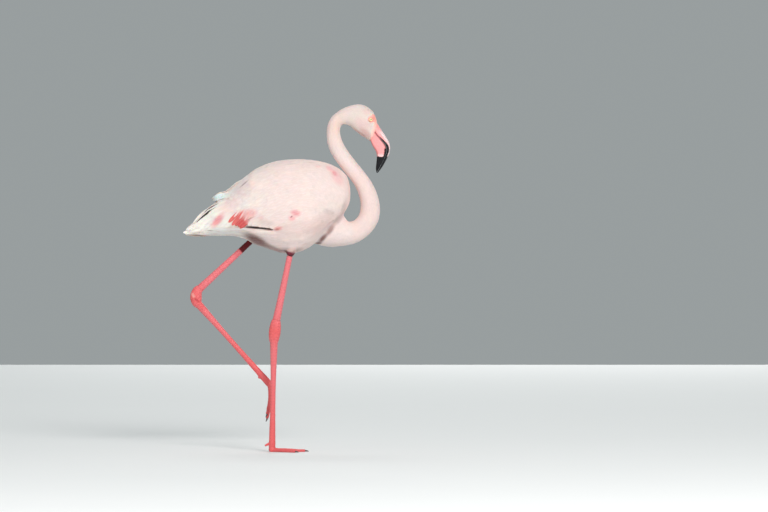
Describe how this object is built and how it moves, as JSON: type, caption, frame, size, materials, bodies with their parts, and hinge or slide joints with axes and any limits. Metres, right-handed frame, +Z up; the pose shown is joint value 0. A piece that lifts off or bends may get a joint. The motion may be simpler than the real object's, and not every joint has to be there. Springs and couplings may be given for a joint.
{
  "type": "greater flamingo model",
  "caption": "Life-size adult greater flamingo in mid stride on one leg, the other leg swinging, neck lowered in an S and the bent bill pointing down.",
  "frame": {"origin": "on the floor, under the middle toe of the standing foot and below the body's weight", "axes": "+Z up, +X the way the bird faces, +Y its left"},
  "size_m": [0.4931, 0.1832, 0.8348],
  "materials": {
    "plumage": "soft matt feathers, pinkish white",
    "wing_plumage": "soft matt feathers, white with coral marks and black quills beneath",
    "tail_plumage": "soft matt white feathers",
    "leg_skin": "scaled coral-pink skin, slightly waxy",
    "bill": "pink horn with a black tip, satin",
    "claw": "dark horn, satin",
    "eye": "wet, pale yellow iris"
  },
  "bodies": {
    "root": {"trunk": "plumage", "neck_base": "plumage", "neck_bend": "plumage", "neck_rise": "plumage", "neck_middle": "plumage", "neck_arch": "plumage", "head": "plumage", "thigh_left": "plumage", "thigh_right": "plumage", "wing_left": "wing_plumage", "wing_right": "wing_plumage", "tail": "tail_plumage", "bill_upper": "bill", "bill_lower": "bill", "eye_left": "eye", "eye_right": "eye", "shank_left": "leg_skin", "ankle_left": "leg_skin", "shin_left": "leg_skin", "foot_left": "leg_skin", "hind_toe_left": "leg_skin", "claw_inner_left": "claw", "claw_middle_left": "claw", "claw_outer_left": "claw", "shank_right": "leg_skin", "ankle_right": "leg_skin", "shin_right": "leg_skin", "foot_right": "leg_skin", "hind_toe_right": "leg_skin", "claw_inner_right": "claw", "claw_middle_right": "claw", "claw_outer_right": "claw"}
  },
  "joints": []
}
